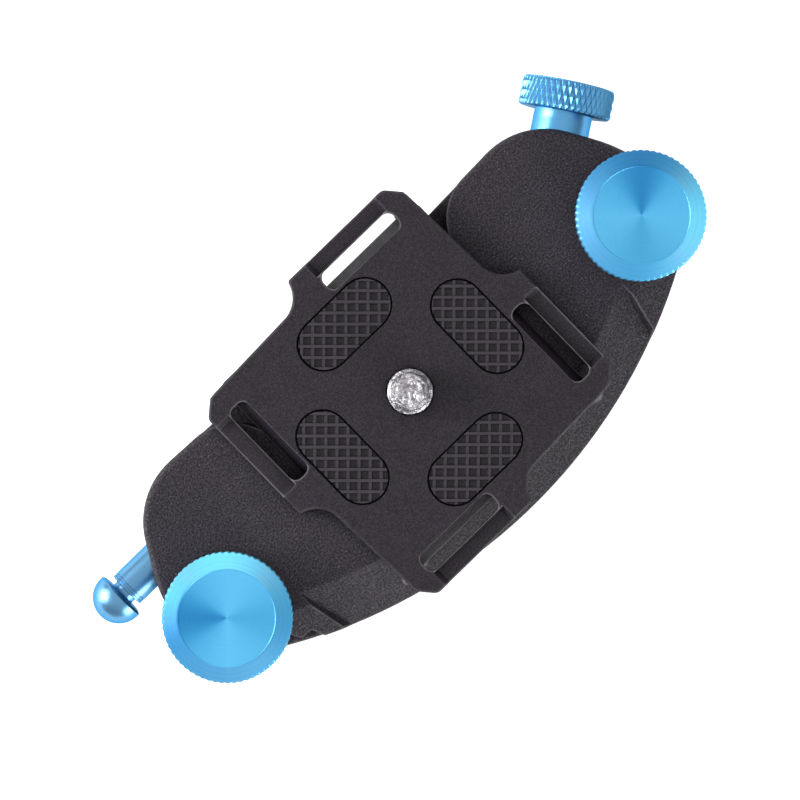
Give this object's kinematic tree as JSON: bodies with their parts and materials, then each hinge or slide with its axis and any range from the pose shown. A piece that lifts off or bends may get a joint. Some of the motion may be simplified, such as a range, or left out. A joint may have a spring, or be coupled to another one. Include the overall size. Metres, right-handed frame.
{
  "type": "camera belt clip",
  "caption": "Metal strap clamp with a dovetail channel that holds a square quick-release camera plate, with clamp knobs, a side lock screw and a push-to-release pin.",
  "frame": {"origin": "centre of the back plate's rear face, below the camera screw's axis", "axes": "+X along the clip towards the lock screw, +Y towards the open end of the channel, +Z out of the camera plate"},
  "size_m": [0.1013, 0.0459, 0.0276],
  "materials": {
    "black_metal": "fine sand-blasted black coating",
    "plate_metal": "smooth satin black anodising",
    "blue_metal": "sky-blue anodised, spun",
    "steel": "turned",
    "bright_steel": "turned bright",
    "pad_rubber": "ribbed",
    "liner_rubber": "matt",
    "white_plastic": "nylon"
  },
  "bodies": {
    "front_body": {"front_body": "black_metal", "front_liner": "liner_rubber", "pin_stop_screw": "steel", "knob_washer_right": "steel"},
    "knob_right": {"clamp_knob_right": "blue_metal", "clamp_stud_right": "steel"},
    "pivot": {"pivot_post": "steel", "pivot_ring": "steel"},
    "back_plate": {"back_plate": "black_metal", "back_liner": "liner_rubber", "fixed_post": "steel"},
    "washer_left": {"knob_washer_left": "steel"},
    "knob_left": {"clamp_knob_left": "blue_metal", "clamp_stud_left": "steel"},
    "plate": {"quick_release_plate": "plate_metal", "grip_pad_top": "pad_rubber", "grip_pad_right": "pad_rubber", "grip_pad_bottom": "pad_rubber", "grip_pad_left": "pad_rubber", "screw_ring": "steel"},
    "camera_screw": {"camera_screw": "bright_steel"},
    "release_pin": {"release_pin": "blue_metal", "release_spring": "steel"},
    "lock_pad": {"lock_pad": "white_plastic"},
    "lock_screw": {"lock_screw": "blue_metal"}
  },
  "joints": [
    {"name": "knob_right_turn", "type": "hinge", "parent": "front_body", "child": "knob_right", "pos_m": [0.0392, -0.00472, 0.0235], "axis": [0, 0, 1], "range_deg": [-1620, 1800]},
    {"name": "clamp_slide", "type": "slide", "parent": "front_body", "child": "pivot", "axis": [0, 0, -1], "range_m": [-0.0045, 0.005]},
    {"name": "back_plate_swing", "type": "hinge", "parent": "pivot", "child": "back_plate", "pos_m": [0.0392, -0.00472, 0.002], "axis": [0, 0, 1], "range_deg": [0, 110]},
    {"name": "washer_left_swing", "type": "hinge", "parent": "front_body", "child": "washer_left", "pos_m": [0.0392, -0.00472, 0.02], "axis": [0, 0, 1], "range_deg": [0, 110]},
    {"name": "knob_left_turn", "type": "hinge", "parent": "washer_left", "child": "knob_left", "pos_m": [-0.0392, -0.00472, 0.0235], "axis": [0, 0, 1], "range_deg": [-1620, 1800]},
    {"name": "plate_slide", "type": "slide", "parent": "front_body", "child": "plate", "axis": [0, 1, 0], "range_m": [0, 0.042]},
    {"name": "camera_screw_turn", "type": "hinge", "parent": "plate", "child": "camera_screw", "pos_m": [0, 0, 0.02], "axis": [0, 0, 1], "continuous": true},
    {"name": "release_pin_push", "type": "slide", "parent": "front_body", "child": "release_pin", "axis": [1, 0, 0], "range_m": [0, 0.003], "stiffness_N_per_m": 600, "springref_m": -0.003, "deforming": ["release_spring"]},
    {"name": "lock_slide", "type": "slide", "parent": "front_body", "child": "lock_pad", "axis": [0.829, 0.5592, 0], "range_m": [-0.00025, 0.002]},
    {"name": "lock_screw_turn", "type": "hinge", "parent": "lock_pad", "child": "lock_screw", "pos_m": [0.0393, 0.01095, 0.0146], "axis": [0.829, 0.5592, 0], "range_deg": [-90, 720]}
  ],
  "couplings": [
    {"joint": "knob_right_turn", "follows": "clamp_slide", "rad_per_m": 6283.2},
    {"joint": "knob_left_turn", "follows": "clamp_slide", "rad_per_m": 6283.2},
    {"joint": "washer_left_swing", "follows": "back_plate_swing", "ratio": 1},
    {"joint": "lock_screw_turn", "follows": "lock_slide", "rad_per_m": 6283.2}
  ]
}
